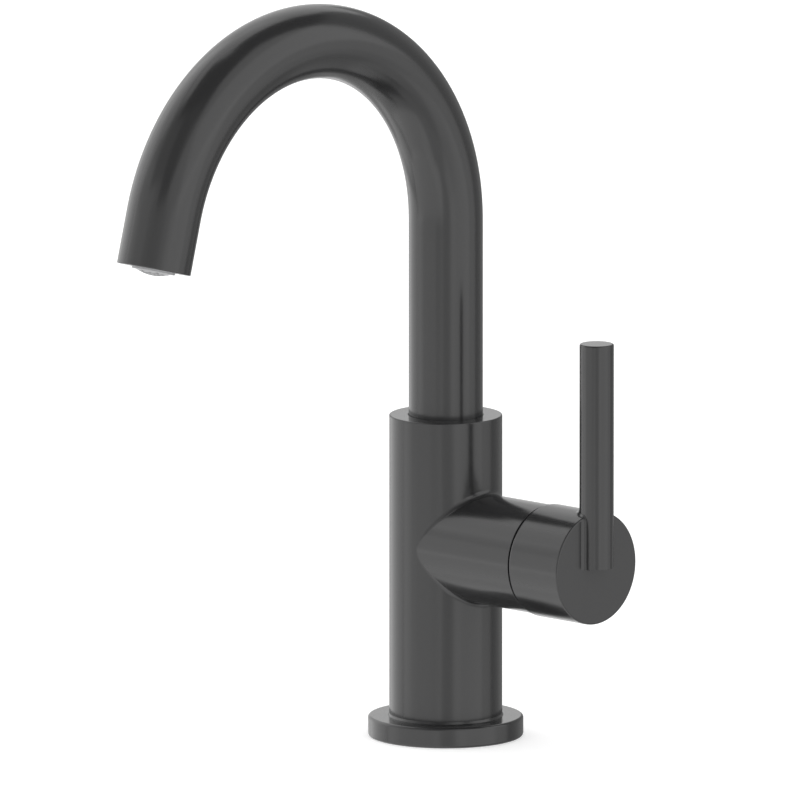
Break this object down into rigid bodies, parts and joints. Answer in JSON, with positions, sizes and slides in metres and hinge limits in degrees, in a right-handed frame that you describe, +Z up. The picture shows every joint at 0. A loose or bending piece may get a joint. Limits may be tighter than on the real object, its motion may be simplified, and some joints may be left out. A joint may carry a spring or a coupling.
{
  "type": "bathroom sink faucet",
  "caption": "Basin faucet: round column on a deck flange, swivelling high-arc tube spout with an aerator, and a side lever handle on a ceramic mixing cartridge.",
  "frame": {"origin": "centre of the underside of the deck flange, on the column's axis", "axes": "+Z up along the column, the spout points to -Y (towards the user), the handle's hub points to +X (the user's right)"},
  "size_m": [0.1112, 0.1909, 0.2774],
  "materials": {
    "black_finish": "satin black plating or powder coat on brass",
    "brass": "turned",
    "tube_brass": "drawn tube",
    "seal_rubber": "moulded",
    "white_plastic": "moulded acetal",
    "aerator_plastic": "moulded, light grey",
    "plug_plastic": "moulded, black",
    "disc_ceramic": "lapped",
    "steel": "stainless, turned"
  },
  "bodies": {
    "root": {"deck_flange": "black_finish", "flange_seal": "seal_rubber", "valve_body": "black_finish", "base_plug": "brass", "base_plug_seal": "seal_rubber", "base_plug_screws": "steel", "cold_inlet_tube": "tube_brass", "hot_inlet_tube": "tube_brass", "inlet_tube_seals": "seal_rubber", "spout_thrust_washer": "white_plastic", "spout_guide_ring": "white_plastic", "spout_stop_screw": "steel", "cartridge_base": "white_plastic", "port_seals": "seal_rubber", "fixed_disc": "disc_ceramic", "cartridge_housing": "white_plastic", "cartridge_nut": "brass", "bonnet_ring": "black_finish"},
    "spout": {"spout_tube": "black_finish", "spout_journal": "brass", "spout_seals": "seal_rubber", "outlet_ring": "black_finish", "aerator_washer": "seal_rubber", "flow_regulator": "white_plastic", "aerator_housing": "aerator_plastic", "aerator_core": "aerator_plastic"},
    "rotor": {"lever_carrier": "white_plastic", "carrier_seal": "seal_rubber", "pivot_pin": "steel"},
    "disc_slide": {"disc_carrier": "white_plastic", "moving_disc": "disc_ceramic"},
    "handle": {"lever_stem": "steel", "handle_cap": "black_finish", "lever_rod": "black_finish", "lever_rod_screw": "steel", "handle_grub_screw": "steel", "screw_hole_plug": "plug_plastic"}
  },
  "joints": [
    {"name": "spout_swivel", "type": "hinge", "parent": "root", "child": "spout", "pos_m": [0, 0, 0.1], "axis": [0, 0, 1], "range_deg": [-60, 60]},
    {"name": "temperature_turn", "type": "hinge", "parent": "root", "child": "rotor", "pos_m": [0.0338, 0, 0.0712], "axis": [1, 0, 0], "range_deg": [-45, 45]},
    {"name": "flow_tilt", "type": "hinge", "parent": "rotor", "child": "handle", "pos_m": [0.0338, 0, 0.0712], "axis": [0, 1, 0], "range_deg": [0, 22]},
    {"name": "disc_slide", "type": "slide", "parent": "rotor", "child": "disc_slide", "axis": [0, 0, 1], "range_m": [0, 0.0023]}
  ],
  "couplings": [
    {"joint": "disc_slide", "follows": "flow_tilt", "m_per_rad": 0.005922}
  ]
}
